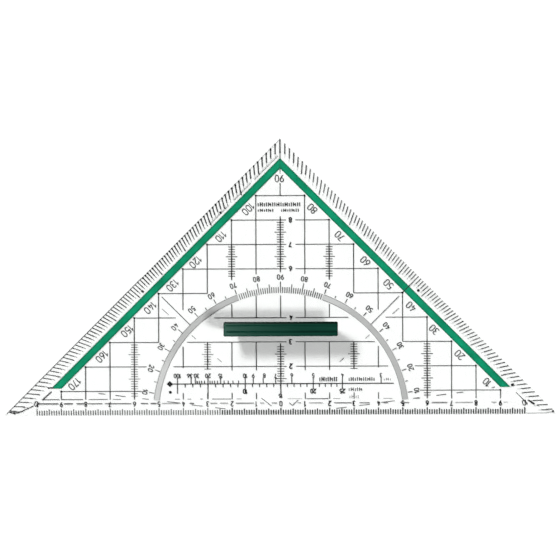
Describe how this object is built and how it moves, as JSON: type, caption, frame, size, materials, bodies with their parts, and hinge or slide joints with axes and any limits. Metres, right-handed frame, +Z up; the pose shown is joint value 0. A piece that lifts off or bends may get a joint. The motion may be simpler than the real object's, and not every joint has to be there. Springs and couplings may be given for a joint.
{
  "type": "set square",
  "caption": "Clear plastic right-angled set square with bevelled edges, a built-in protractor, green leg stripes and a lift-off grip handle.",
  "frame": {"origin": "under the middle of the plate's bounding box, on the surface that the plate lies on", "axes": "+Z up out of the plate's upper face, +X along the long edge towards the low end of the outer degree scale, +Y towards the right angle"},
  "size_m": [0.2258, 0.1134, 0.0145],
  "materials": {
    "clear_plastic": "polished",
    "green_ink": "satin",
    "grey_ink": "matte",
    "black_ink": "matte",
    "green_plastic": "satin"
  },
  "bodies": {
    "plate_body": {"plate": "clear_plastic", "green_stripe": "green_ink", "protractor_band_left": "grey_ink", "protractor_band_right": "grey_ink"},
    "handle_body": {"handle": "green_plastic"}
  },
  "joints": [
    {"name": "handle_lift", "type": "slide", "parent": "plate_body", "child": "handle_body", "axis": [0, 0, 1], "range_m": [0, 0.03]}
  ]
}
